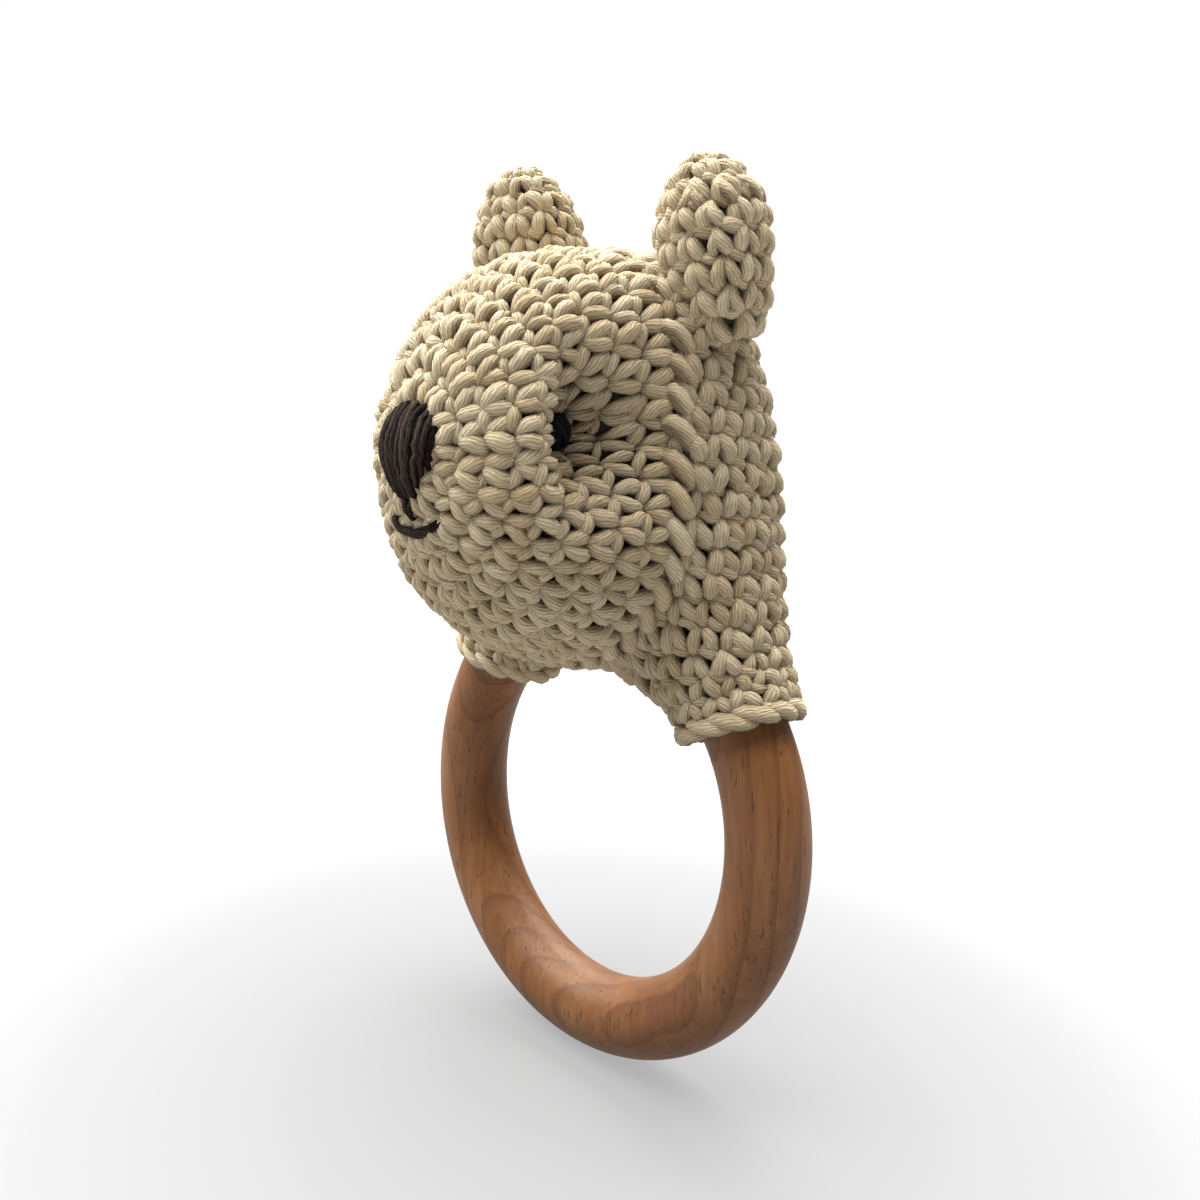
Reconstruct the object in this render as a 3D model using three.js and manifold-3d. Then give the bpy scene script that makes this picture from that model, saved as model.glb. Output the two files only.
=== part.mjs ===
// Teething ring: a round beech ring that runs through the sleeve of a crocheted, stuffed animal head.
// Millimetres, +Z up. The origin is the foot of the ring. The ring lies in the XZ plane,
// its axis is Y, and the face looks towards -Y.
// Heights inside the model are counted from the centre of the ring.

import * as THREE from 'three';
import { mergeVertices } from 'three/addons/utils/BufferGeometryUtils.js';
import Module from 'manifold-3d';

const wasm = await Module();
wasm.setup();

// ---------- driving dimensions ----------

const RING_OUTER_RADIUS = 35;
const TUBE_RADIUS = 5.4;
const RING_RADIUS = RING_OUTER_RADIUS - TUBE_RADIUS;
const RING_STEPS = 72;
const TUBE_SIDES = 16;

const GAP = 0.3;
const RUNNING_GAP = 0.35;
const COVER_THICKNESS = 2.6;
const EAR_THICKNESS = 2.2;
const YARN_RADIUS = 0.8;

const FACE = {
  noseY: -35.2,
  seamY: -10.5,
  halfWidth: 21,
  halfHeight: 25.3,
  centreHeight: 48.8,
};

const EYE = {
  along: 0.64,
  angle: THREE.MathUtils.degToRad(9),
  dent: 6,
  radius: 1.5,
};

// Half width, half depth and height of the hood from the crown down to where the sleeve begins.
const HOOD_STATIONS = [
  [0, 0, 75.2],
  [9.5, 5.5, 74.1],
  [15.4, 9, 71],
  [19.7, 12, 64.5],
  [22.5, 13.7, 54],
  [24.5, 13.1, 40],
  [26.3, 11, 30],
];
const CROWN_Y = -5;

// Angles around the ring, from +X over the top, where the sleeve ends.
const SLEEVE = {
  right: { outer: 35.7, inner: 43.5, turn: 1 },
  left: { outer: 142, inner: 129, turn: -1 },
  overrun: 3,
  innerRadiusMiddle: 21.1,
  innerRadiusEnds: 22.8,
  outerRadius: 36.7,
  outerSwell: 5,
  halfDepth: 7.7,
  depthSwell: 2.6,
};

const EAR = {
  halfWidth: 7.9,
  halfDepth: 5.6,
  sunk: 0.3,
};
const EARS = {
  right: { base: [18.2, -3.8, 68.9], tip: [16.6, -6.4, 85.1], turn: -15 },
  left: { base: [-15.8, -3.8, 70], tip: [-16.4, -7.2, 88.3], turn: 15 },
};

const NOSE = { halfWidth: 4.6, halfHeight: 4.9, thickness: 1.1 };
const STITCH_RADIUS = 0.55;
const MOUTH = { height: 41, halfWidth: 5.4, rise: 1.6 };
const HEM = { loopRadius: 6.8, yarnRadius: 0.95 };

const COTTON = { color: 0xd3c6ad, roughness: 0.95, metalness: 0 };
const BEECH = { color: 0x8a5a42, roughness: 0.5, metalness: 0 };
const DARK_YARN = { color: 0x2c2220, roughness: 0.9, metalness: 0 };
const BLACK_THREAD = { color: 0x0d0c0c, roughness: 0.9, metalness: 0 };
const FIBRE_FILL = { color: 0xf2f0ea, roughness: 1, metalness: 0 };

// ---------- from three.js geometry to solids and back ----------

function closedGeometry(geometry) {
  geometry.deleteAttribute('normal');
  geometry.deleteAttribute('uv');
  return mergeVertices(geometry, 1e-4);
}

function solid(geometry) {
  const closed = closedGeometry(geometry);
  const vertProperties = new Float32Array(closed.attributes.position.array);
  let triVerts = new Uint32Array(closed.index.array);
  const make = () => new wasm.Manifold(new wasm.Mesh({ numProp: 3, vertProperties, triVerts }));
  let result = make();
  if (result.volume() < 0) {
    triVerts = triVerts.reverse();
    result = make();
  }
  return result;
}

function geometryOf(body) {
  const { vertProperties, triVerts } = body.getMesh();
  const geometry = new THREE.BufferGeometry();
  geometry.setAttribute('position', new THREE.BufferAttribute(new Float32Array(vertProperties), 3));
  geometry.setIndex(new THREE.BufferAttribute(new Uint32Array(triVerts), 1));
  geometry.computeVertexNormals();
  return geometry;
}

// Moves each point of a sphere or torus to place(around, along), around in radians and along from 0 to 1.
function warp(geometry, place) {
  const { position, uv } = geometry.attributes;
  for (let i = 0; i < position.count; i += 1) {
    const point = place(uv.getX(i) * 2 * Math.PI, 1 - uv.getY(i));
    position.setXYZ(i, point.x, point.y, point.z);
  }
  return geometry;
}

function blob(place, around, along) {
  return solid(warp(new THREE.SphereGeometry(1, around, along), place));
}

// A closed loop of yarn around centreLine(angle), which returns a point and the direction away from the middle.
function yarnLoop(centreLine, radius, sides, steps) {
  const torus = new THREE.TorusGeometry(2, 1, sides, steps);
  return solid(warp(torus, (around, along) => {
    const { point, out } = centreLine(around);
    const ahead = centreLine(around + 0.01).point;
    const behind = centreLine(around - 0.01).point;
    const tangent = ahead.sub(behind).normalize();
    const side = new THREE.Vector3().crossVectors(tangent, out).normalize();
    const turn = along * 2 * Math.PI;
    return point.clone()
      .addScaledVector(out, radius * Math.cos(turn))
      .addScaledVector(side, radius * Math.sin(turn));
  }));
}

// A round yarn along a curve, with closed ends.
function yarnAlong(curve, radius, sides, steps) {
  const section = new THREE.Shape();
  for (let i = 0; i < sides; i += 1) {
    const angle = (i / sides) * 2 * Math.PI;
    const x = radius * Math.cos(angle);
    const y = radius * Math.sin(angle);
    if (i === 0) section.moveTo(x, y);
    else section.lineTo(x, y);
  }
  section.closePath();
  return solid(new THREE.ExtrudeGeometry(section, { extrudePath: curve, steps }));
}

// ---------- the shapes of the head ----------

// How far from the middle a squared-off circle reaches at an angle, 1 being its half width.
function squircle(angle, power) {
  const across = Math.abs(Math.cos(angle)) ** power;
  const up = Math.abs(Math.sin(angle)) ** power;
  return (across + up) ** (-1 / power);
}

function angleBetween(a, b) {
  return Math.abs(Math.atan2(Math.sin(a - b), Math.cos(a - b)));
}

// How deep the face is pulled in around each eye.
function eyeDent(along, angle) {
  const width = along > EYE.along ? 0.26 : 0.12;
  const alongFall = Math.exp(-(((along - EYE.along) / width) ** 2));
  const eyes = [EYE.angle, Math.PI - EYE.angle];
  const aroundFall = eyes.reduce((sum, eye) => sum + Math.exp(-((angleBetween(angle, eye) / 0.33) ** 2)), 0);
  return EYE.dent * alongFall * aroundFall;
}

// The face, worked in rounds: along runs from 0 at the nose to 1 at the seam. grow moves the surface out.
function facePoint(angle, along, grow) {
  const reach = Math.sin((along * Math.PI) / 2) ** 0.92;
  const bend = squircle(angle, 2 + 0.3 * along);
  const depth = 0.1 * along + 0.9 * along ** 1.75;
  const dent = eyeDent(along, angle);
  const halfWidth = (FACE.halfWidth + grow) * reach - dent;
  const halfHeight = (FACE.halfHeight + grow) * reach - dent;
  const nose = FACE.noseY - grow;
  return new THREE.Vector3(
    halfWidth * bend * Math.cos(angle),
    nose + (FACE.seamY - nose) * depth,
    FACE.centreHeight + halfHeight * bend * Math.sin(angle),
  );
}

const FACE_AROUND = 40;
const FACE_ALONG = 15;
const FACE_SHARE = 0.8;

// The face as a closed solid, whose back is carried straight on to backY.
function faceSolid(grow, backY) {
  const centre = new THREE.Vector3(0, backY, FACE.centreHeight);
  return blob((angle, v) => {
    if (v <= FACE_SHARE) return facePoint(angle, v / FACE_SHARE, grow);
    const rim = facePoint(angle, 1, grow);
    rim.y = backY;
    return rim.lerp(centre, (v - FACE_SHARE - 1 / FACE_ALONG) / (1 - FACE_SHARE - 1 / FACE_ALONG));
  }, FACE_AROUND, FACE_ALONG);
}

const hoodProfile = new THREE.CatmullRomCurve3(HOOD_STATIONS.map((station) => new THREE.Vector3(...station)));
const HOOD_SHARE = 0.875;
const HOOD_AROUND = 36;
const HOOD_ALONG = 16;

// The hood from the crown (v = 0) down to a flat underside at the given height.
function hoodSolid(grow, bottomHeight) {
  const crown = HOOD_STATIONS[0][2];
  const bottom = HOOD_STATIONS.at(-1)[2];
  const middleY = (height) => CROWN_Y * Math.max(0, (height - bottom) / (crown - bottom)) ** 1.3;
  return blob((angle, v) => {
    const along = Math.min(1, v / HOOD_SHARE);
    const [halfWidth, halfDepth, height] = hoodProfile.getPoint(along).toArray();
    const widen = grow * Math.min(1, along * 6);
    const bend = squircle(angle, 2 + 0.6 * Math.min(1, along * 2));
    const wall = new THREE.Vector3(
      (halfWidth + widen) * bend * Math.cos(angle),
      middleY(height) + (halfDepth + widen) * bend * Math.sin(angle),
      Math.max(bottomHeight, height + grow * (1 - along)),
    );
    if (v <= HOOD_SHARE) return wall;
    wall.z = bottomHeight;
    const underside = new THREE.Vector3(0, 0, bottomHeight);
    return wall.lerp(underside, (v - HOOD_SHARE) / (1 - HOOD_SHARE));
  }, HOOD_AROUND, HOOD_ALONG);
}

const SLEEVE_AROUND = 18;
const SLEEVE_ALONG = 20;
const SLEEVE_MIDDLE = (SLEEVE.right.outer + SLEEVE.left.outer) / 2;

function sleeveInnerRadius(degrees) {
  const offset = (degrees - SLEEVE_MIDDLE) / (SLEEVE.left.outer - SLEEVE_MIDDLE);
  return SLEEVE.innerRadiusMiddle + (SLEEVE.innerRadiusEnds - SLEEVE.innerRadiusMiddle) * offset ** 2;
}

// A point of the ring's plane at an angle around the ring, at a radius from its centre.
function aroundRing(degrees, radius, y) {
  const angle = THREE.MathUtils.degToRad(degrees);
  return new THREE.Vector3(radius * Math.cos(angle), y, radius * Math.sin(angle));
}

// A plane across the ring's tube beyond a sleeve's end: where it meets the tube's centre line,
// its direction away from the ring's centre, and the direction away from the sleeve.
function sleeveEnd({ outer, inner, turn }, beyond) {
  const innerPoint = aroundRing(inner, SLEEVE.innerRadiusEnds, 0);
  const across = aroundRing(outer, SLEEVE.outerRadius, 0).sub(innerPoint).normalize();
  const away = new THREE.Vector3(turn * across.z, 0, -turn * across.x);
  const start = innerPoint.addScaledVector(away, beyond);
  const nearest = -start.dot(across);
  const reach = Math.sqrt(nearest ** 2 - start.lengthSq() + RING_RADIUS ** 2);
  const middle = start.addScaledVector(across, nearest + reach);
  return { middle, across, away };
}

// A block that takes off what reaches beyond a sleeve's end.
function endBlock(side) {
  const size = 24;
  const { middle, across, away } = sleeveEnd(side, 0);
  const block = new THREE.BoxGeometry(size, size * 2, size).translate(0, 0, size / 2);
  const right = new THREE.Vector3().crossVectors(away, across);
  const placement = new THREE.Matrix4().makeBasis(across, right, away).setPosition(middle);
  return solid(block.applyMatrix4(placement));
}

// The part of the hood that wraps the ring, from one hem to the other.
function sleeveSolid() {
  const tube = new THREE.CylinderGeometry(1, 1, 1, SLEEVE_AROUND, SLEEVE_ALONG);
  const { position } = tube.attributes;
  for (let i = 0; i < position.count; i += 1) {
    const along = position.getY(i) + 0.5;
    const inOut = position.getX(i);
    const frontBack = position.getZ(i);
    const start = SLEEVE.right.outer - SLEEVE.overrun;
    const end = SLEEVE.left.outer + SLEEVE.overrun;
    const degrees = start + (end - start) * along;
    const swell = Math.sin(Math.PI * along);
    const inner = sleeveInnerRadius(degrees);
    const outer = SLEEVE.outerRadius + SLEEVE.outerSwell * swell;
    const radius = (inner + outer) / 2 + ((outer - inner) / 2) * inOut;
    const y = (SLEEVE.halfDepth + SLEEVE.depthSwell * swell) * frontBack;
    const point = aroundRing(degrees, radius, y);
    position.setXYZ(i, point.x, point.y, point.z);
  }
  return solid(tube).subtract(endBlock(SLEEVE.right)).subtract(endBlock(SLEEVE.left));
}

// A ring of round section about the Y axis. Its outermost band of facets is flat and reaches the outer radius.
function ringGeometry(tubeRadius) {
  const flat = Math.cos(Math.PI / TUBE_SIDES);
  const wide = Math.cos(Math.PI / RING_STEPS);
  const profile = [];
  for (let i = 0; i <= TUBE_SIDES; i += 1) {
    const angle = ((i % TUBE_SIDES) + 0.5) * ((2 * Math.PI) / TUBE_SIDES);
    const radius = RING_RADIUS + (tubeRadius / flat) * Math.cos(angle);
    profile.push(new THREE.Vector2(radius / wide, (tubeRadius / flat) * Math.sin(angle)));
  }
  const ring = new THREE.LatheGeometry(profile, RING_STEPS);
  return ring.rotateY(Math.PI / RING_STEPS);
}

const EAR_AROUND = 20;
const EAR_ALONG = 13;

// An ear about the line from its base to its tip. It narrows to a blunt point, and its foot runs into the head.
function earSolid({ base, tip, turn }, grow) {
  const foot = new THREE.Vector3(...base);
  const line = new THREE.Vector3(...tip).sub(foot);
  const up = line.clone().normalize();
  const across = new THREE.Vector3(1, 0, 0).addScaledVector(up, -up.x).normalize();
  across.applyAxisAngle(up, THREE.MathUtils.degToRad(turn));
  const forward = new THREE.Vector3().crossVectors(up, across);
  return blob((angle, v) => {
    const along = 1 - v * (1 + EAR.sunk);
    const fromWidest = (along - 0.4) / (along > 0.4 ? 0.6 : 1.1);
    const narrow = Math.max(0, 1 - fromWidest ** 2) ** 0.55 * Math.min(1, (1 - v) * 12);
    return foot.clone()
      .addScaledVector(up, line.length() * along + grow * (along - 0.4))
      .addScaledVector(across, (EAR.halfWidth + grow) * narrow * Math.cos(angle))
      .addScaledVector(forward, (EAR.halfDepth + grow) * narrow * Math.sin(angle));
  }, EAR_AROUND, EAR_ALONG);
}

// A point in front of the face at a place across and up, lifted off its surface.
function overFace(x, height, lift) {
  const angle = Math.atan2(height - FACE.centreHeight, x);
  let low = 0;
  let high = 1;
  for (let i = 0; i < 30; i += 1) {
    const middle = (low + high) / 2;
    const point = facePoint(angle, middle, lift);
    const reach = Math.hypot(point.x, point.z - FACE.centreHeight);
    if (reach < Math.hypot(x, height - FACE.centreHeight)) low = middle;
    else high = middle;
  }
  return facePoint(angle, low, lift);
}

// ---------- sub-parts ----------

const ringTunnel = solid(ringGeometry(TUBE_RADIUS + RUNNING_GAP));
const VOID_BOTTOM = 30.5;

const seamLoop = (radius) => yarnLoop((angle) => {
  const point = facePoint(angle, 1, YARN_RADIUS + GAP);
  const out = new THREE.Vector3(point.x, 0, point.z - FACE.centreHeight).normalize();
  point.y += GAP / 2;
  return { point, out };
}, radius, 6, 48);

function faceCover() {
  const inside = faceSolid(-COVER_THICKNESS, FACE.seamY + 1);
  return faceSolid(0, FACE.seamY + 0.001).subtract(inside).subtract(seamLoop(YARN_RADIUS + GAP));
}

// The outside of the head without its ears, moved out by grow.
function headOutline(grow) {
  return hoodSolid(grow, HOOD_STATIONS.at(-1)[2])
    .add(faceSolid(grow, FACE.seamY + 1))
    .add(seamLoop(YARN_RADIUS + grow));
}

// Everything in front of the plane where the face meets the hood.
function inFrontOfSeam(y) {
  return solid(new THREE.BoxGeometry(200, 200, 200).translate(0, y - 100, 0));
}

function hoodCover() {
  const bell = hoodSolid(0, HOOD_STATIONS.at(-1)[2]).subtract(inFrontOfSeam(FACE.seamY + GAP));
  const outside = bell.add(sleeveSolid());
  const inside = hoodSolid(-COVER_THICKNESS, VOID_BOTTOM);
  return outside
    .subtract(inside)
    .subtract(faceSolid(GAP, FACE.seamY + GAP))
    .subtract(ringTunnel)
    .subtract(seamLoop(YARN_RADIUS + GAP));
}

function eyeCentre(side) {
  const angle = side > 0 ? EYE.angle : Math.PI - EYE.angle;
  return facePoint(angle, EYE.along + 0.03, EYE.radius + 2 * GAP);
}

function tieThread(radius, spare) {
  const { x, y, z } = facePoint(EYE.angle, EYE.along, -COVER_THICKNESS - 2 * GAP);
  const start = new THREE.Vector3(-x - spare, y, z);
  const end = new THREE.Vector3(x + spare, y, z);
  return yarnAlong(new THREE.LineCurve3(start, end), radius, 8, 1);
}

function stuffingFront() {
  const fill = faceSolid(-COVER_THICKNESS - 2 * GAP, FACE.seamY - GAP);
  return fill.subtract(tieThread(STITCH_RADIUS + GAP, 4));
}

function stuffingBack() {
  const fill = hoodSolid(-COVER_THICKNESS - GAP, VOID_BOTTOM + GAP);
  const tunnel = solid(ringGeometry(TUBE_RADIUS + 2 * RUNNING_GAP));
  return fill.subtract(inFrontOfSeam(FACE.seamY)).subtract(tunnel);
}

function earCover(place) {
  return earSolid(place, 0).subtract(earSolid(place, -EAR_THICKNESS)).subtract(headOutline(GAP));
}

function earStuffing(place) {
  return earSolid(place, -EAR_THICKNESS - GAP).subtract(headOutline(GAP));
}

// The yarn that sews an ear down: a narrow band around its foot, lying on the head.
function earSeam(place) {
  const band = earSolid(place, GAP + 1).subtract(earSolid(place, GAP));
  return band.intersect(headOutline(GAP + 1.2)).subtract(headOutline(GAP));
}

function nose() {
  const outline = new THREE.CylinderGeometry(1, 1, 12, 20);
  outline.scale(NOSE.halfWidth, 1, NOSE.halfHeight);
  outline.translate(0, FACE.noseY, FACE.centreHeight);
  const layer = faceSolid(GAP + NOSE.thickness, FACE.seamY).subtract(faceSolid(GAP, FACE.seamY + 1));
  return layer.intersect(solid(outline));
}

function philtrum() {
  const lift = GAP + STITCH_RADIUS;
  const top = FACE.centreHeight - NOSE.halfHeight - STITCH_RADIUS - GAP;
  const bottom = MOUTH.height - MOUTH.rise + STITCH_RADIUS * 2 + GAP + 0.6;
  const heights = [top, (top + bottom) / 2, bottom];
  const curve = new THREE.CatmullRomCurve3(heights.map((height) => overFace(0.001, height, lift)));
  return yarnAlong(curve, STITCH_RADIUS, 6, 5);
}

function mouth() {
  const lift = GAP + STITCH_RADIUS;
  const points = [-1, -0.5, 0, 0.5, 1].map((across) => {
    const height = MOUTH.height - MOUTH.rise * (1 - across ** 2);
    return overFace(across * MOUTH.halfWidth + 0.001, height, lift);
  });
  return yarnAlong(new THREE.CatmullRomCurve3(points), STITCH_RADIUS, 6, 12);
}

function eye(side) {
  const { x, y, z } = eyeCentre(side);
  return solid(new THREE.SphereGeometry(EYE.radius, 12, 8).translate(x, y, z));
}

// The edging round of a sleeve end: an oval loop about the ring's tube, tilted as the sleeve's end is.
function hem(side) {
  const { middle, across } = sleeveEnd(side, HEM.yarnRadius + GAP);
  const stretch = 1 / across.dot(middle.clone().normalize());
  const depth = new THREE.Vector3(0, 1, 0);
  const loop = (angle) => {
    const out = across.clone().multiplyScalar(Math.cos(angle)).addScaledVector(depth, Math.sin(angle));
    const point = middle.clone()
      .addScaledVector(across, HEM.loopRadius * stretch * Math.cos(angle))
      .addScaledVector(depth, HEM.loopRadius * Math.sin(angle));
    return { point, out };
  };
  return yarnLoop(loop, HEM.yarnRadius, 8, 24);
}

function closingSeam() {
  const start = SLEEVE.right.inner + 8;
  const end = SLEEVE.left.inner - 8;
  const points = [];
  for (let i = 0; i <= 8; i += 1) {
    const degrees = start + ((end - start) * i) / 8;
    points.push(aroundRing(degrees, sleeveInnerRadius(degrees) - GAP - YARN_RADIUS - 0.05, 0));
  }
  return yarnAlong(new THREE.CatmullRomCurve3(points), YARN_RADIUS, 6, 18);
}

// ---------- assembly ----------

const teethingRing = new THREE.Group();
teethingRing.position.z = RING_OUTER_RADIUS;

function add(name, body, look) {
  const mesh = new THREE.Mesh(geometryOf(body), new THREE.MeshStandardMaterial(look));
  mesh.name = name;
  teethingRing.add(mesh);
}

add('wooden_ring', solid(ringGeometry(TUBE_RADIUS)), BEECH);
add('face_cover', faceCover(), COTTON);
add('hood_cover', hoodCover(), COTTON);
add('stuffing_front', stuffingFront(), FIBRE_FILL);
add('stuffing_back', stuffingBack(), FIBRE_FILL);
for (const [side, place] of Object.entries(EARS)) {
  add(`ear_${side}_cover`, earCover(place), COTTON);
  add(`ear_${side}_stuffing`, earStuffing(place), FIBRE_FILL);
  add(`ear_${side}_seam`, earSeam(place), COTTON);
}
add('nose_embroidery', nose(), DARK_YARN);
add('philtrum_stitch', philtrum(), DARK_YARN);
add('mouth_stitch', mouth(), DARK_YARN);
add('eye_right', eye(1), BLACK_THREAD);
add('eye_left', eye(-1), BLACK_THREAD);
add('eye_tie_thread', tieThread(STITCH_RADIUS, 0), BLACK_THREAD);
add('face_seam_yarn', seamLoop(YARN_RADIUS), COTTON);
add('hem_right', hem(SLEEVE.right), COTTON);
add('hem_left', hem(SLEEVE.left), COTTON);
add('closing_seam', closingSeam(), COTTON);

export default teethingRing;
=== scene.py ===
# Visual model of the teething ring: a beech ring through the sleeve of a crocheted animal head.
# Every stitch is a strand of yarn laid on the head's surface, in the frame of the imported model.
import math

import bmesh
import bpy
import numpy as np
from mathutils import Matrix, Vector


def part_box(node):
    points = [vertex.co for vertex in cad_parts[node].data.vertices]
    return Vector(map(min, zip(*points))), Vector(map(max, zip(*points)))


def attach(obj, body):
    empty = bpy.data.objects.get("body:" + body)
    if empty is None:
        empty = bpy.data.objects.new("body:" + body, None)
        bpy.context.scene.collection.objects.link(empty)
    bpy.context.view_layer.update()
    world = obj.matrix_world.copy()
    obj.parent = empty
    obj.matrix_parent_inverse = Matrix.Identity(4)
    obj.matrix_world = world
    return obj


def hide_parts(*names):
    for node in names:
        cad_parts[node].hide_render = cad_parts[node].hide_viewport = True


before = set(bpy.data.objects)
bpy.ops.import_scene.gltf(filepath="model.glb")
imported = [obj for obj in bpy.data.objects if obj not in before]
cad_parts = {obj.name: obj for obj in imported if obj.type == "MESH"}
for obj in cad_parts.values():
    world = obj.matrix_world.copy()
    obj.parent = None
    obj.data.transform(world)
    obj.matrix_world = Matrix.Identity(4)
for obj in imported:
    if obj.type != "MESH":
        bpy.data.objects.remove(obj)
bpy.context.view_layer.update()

MM = 0.001
RANDOM = np.random.default_rng(7)

# ---------- sizes, in millimetres, heights counted from the ring's centre ----------

ring_low, ring_high = (np.array(corner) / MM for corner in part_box("wooden_ring"))
RING_OUTER_RADIUS = (ring_high[0] - ring_low[0]) / 2
TUBE_RADIUS = (ring_high[1] - ring_low[1]) / 2
RING_RADIUS = RING_OUTER_RADIUS - TUBE_RADIUS
RING_CENTRE = np.array([0.0, 0.0, RING_OUTER_RADIUS])

STITCH_WIDTH = 3.6
ROW_HEIGHT = 3.35
LEG_WIDTH = 2.0
LEG_THICKNESS = 2.1

# The face is a bowl from the nose back to the seam; its rounds are numbers of stitches, from the nose out.
NOSE_Y, SEAM_Y = -35.2, -10.5
FACE_HALF_WIDTH, FACE_HALF_HEIGHT, FACE_CENTRE = 21.0, 25.3, 48.8
FACE_ROUNDS = (6, 12, 18, 24, 30, 36, 40, 41, 41, 41)
EYE_ALONG, EYE_ANGLE, EYE_DENT = 0.64, math.radians(9), 8.4

# The hood's ovals from the crown down: half width, half depth and height.
HOOD_STATIONS = np.array([
    [0, 0, 75.2],
    [9.5, 5.5, 74.1],
    [15.4, 9, 71],
    [19.7, 12, 64.5],
    [22.5, 13.7, 54],
    [24.5, 13.1, 40],
    [26.3, 11, 30],
])
HOOD_BOTTOM, HOOD_CROWN = HOOD_STATIONS[-1, 2], HOOD_STATIONS[0, 2]
CROWN_Y = -5.0

# The sleeve's ends, as angles round the ring at its outer and its inner side.
SLEEVE_OUTER_RADIUS, SLEEVE_END_RADIUS, SLEEVE_MIDDLE_RADIUS = 36.7, 22.8, 21.1
SLEEVE_RIGHT = (35.7, 43.5)
SLEEVE_LEFT = (142.0, 129.0)
# The radius of the loop round the tube at each end, and the share of the sleeve's edge that each loop takes.
HEM_LOOP_RADIUS = 6.8
HEM_SHARE = 0.29

# Each ear's foot, tip and turn about the line between them.
EAR_HALF_WIDTH, EAR_HALF_DEPTH = 7.9, 5.6
EARS = {
    "right": (np.array([18.2, -3.8, 68.9]), np.array([16.6, -6.4, 85.1]), math.radians(-15)),
    "left": (np.array([-15.8, -3.8, 70]), np.array([-16.4, -7.2, 88.3]), math.radians(15)),
}

# ---------- the surfaces of the head ----------


def squircle(angle, power):
    """How far the edge of a squared-off circle is from its middle, as a share of its half width."""
    across = np.abs(np.cos(angle)) ** power
    up = np.abs(np.sin(angle)) ** power
    return (across + up) ** (-1 / power)


def angle_between(a, b):
    return np.abs(np.arctan2(np.sin(a - b), np.cos(a - b)))


def eye_dent(along, angle):
    """How deep the pulled-in hollows of the two eyes are at a place on the face."""
    width = np.where(along > EYE_ALONG, 0.28, 0.10)
    along_fall = np.exp(-(((along - EYE_ALONG) / width) ** 2))
    around_fall = 0
    for eye in (EYE_ANGLE, math.pi - EYE_ANGLE):
        around_fall = around_fall + np.exp(-((angle_between(angle, eye) / 0.38) ** 2))
    return EYE_DENT * along_fall * around_fall


def face_reach(along):
    return np.sin(np.minimum(along, 1) * math.pi / 2) ** 0.92


def face_depth(along):
    return 0.1 * along + 0.9 * along ** 1.75


def face_point(along, angle):
    """along 0 at the nose, 1 at the seam; angle is how far round."""
    along = np.clip(along, 1e-3, 1.2)
    reach = face_reach(along)
    bend = squircle(angle, 2 + 0.3 * along)
    depth = face_depth(along)
    dent = eye_dent(along, angle)
    x = (FACE_HALF_WIDTH * reach - dent) * bend * np.cos(angle)
    z = FACE_CENTRE + (FACE_HALF_HEIGHT * reach - dent) * bend * np.sin(angle)
    y = NOSE_Y + (SEAM_Y - NOSE_Y) * depth
    return np.stack([x, y, z], -1)


def catmull_rom(points, t):
    """A smooth curve through the points along the first axis, at t from 0 to 1."""
    before, after = 2 * points[:1] - points[1:2], 2 * points[-1:] - points[-2:-1]
    padded = np.concatenate([before, points, after])
    place = np.clip(t, 0, 1) * (len(points) - 1)
    index = np.minimum(place.astype(int), len(points) - 2)
    f = (place - index).reshape(*np.shape(t), *[1] * (points.ndim - 1))
    p0, p1, p2, p3 = (padded[index + k] for k in range(4))
    return 0.5 * (2 * p1 + (p2 - p0) * f + (2 * p0 - 5 * p1 + 4 * p2 - p3) * f ** 2
                  + (3 * p1 - p0 - 3 * p2 + p3) * f ** 3)


def distances_along(points):
    """How far each of a line's points is along it."""
    return np.concatenate([[0], np.cumsum(np.linalg.norm(np.diff(points, axis=0), axis=1))])


def around_ring(degrees, radius):
    """Points in the ring's middle plane."""
    angle = np.radians(degrees)
    return np.stack([radius * np.cos(angle), 0 * angle, radius * np.sin(angle)], -1)


def sleeve_end(outer, inner):
    """The middle of a sleeve's end on the tube's centre line, and the direction outwards across it."""
    inner_point = around_ring(inner, SLEEVE_END_RADIUS)
    across = around_ring(outer, SLEEVE_OUTER_RADIUS) - inner_point
    across = across / np.linalg.norm(across)
    nearest = -inner_point @ across
    reach = math.sqrt(nearest ** 2 - inner_point @ inner_point + RING_RADIUS ** 2)
    middle = inner_point + across * (nearest + reach)
    stretch = 1 / (across @ (middle / np.linalg.norm(middle)))
    return middle, across, stretch


RIGHT_END = sleeve_end(*SLEEVE_RIGHT)
LEFT_END = sleeve_end(*SLEEVE_LEFT)


def sleeve_inner_radius(degrees):
    middle = (SLEEVE_RIGHT[0] + SLEEVE_LEFT[0]) / 2
    offset = (degrees - middle) / (SLEEVE_LEFT[0] - middle)
    return SLEEVE_MIDDLE_RADIUS + (SLEEVE_END_RADIUS - SLEEVE_MIDDLE_RADIUS) * offset ** 2


def hem_point(end, turn, radius=HEM_LOOP_RADIUS + 0.3):
    """Points round one end of the sleeve."""
    middle, across, stretch = end
    out = across * np.cos(turn)[..., None] * stretch * radius
    return middle + out + np.array([0, 1.0, 0]) * (np.sin(turn) * radius)[..., None]


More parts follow.
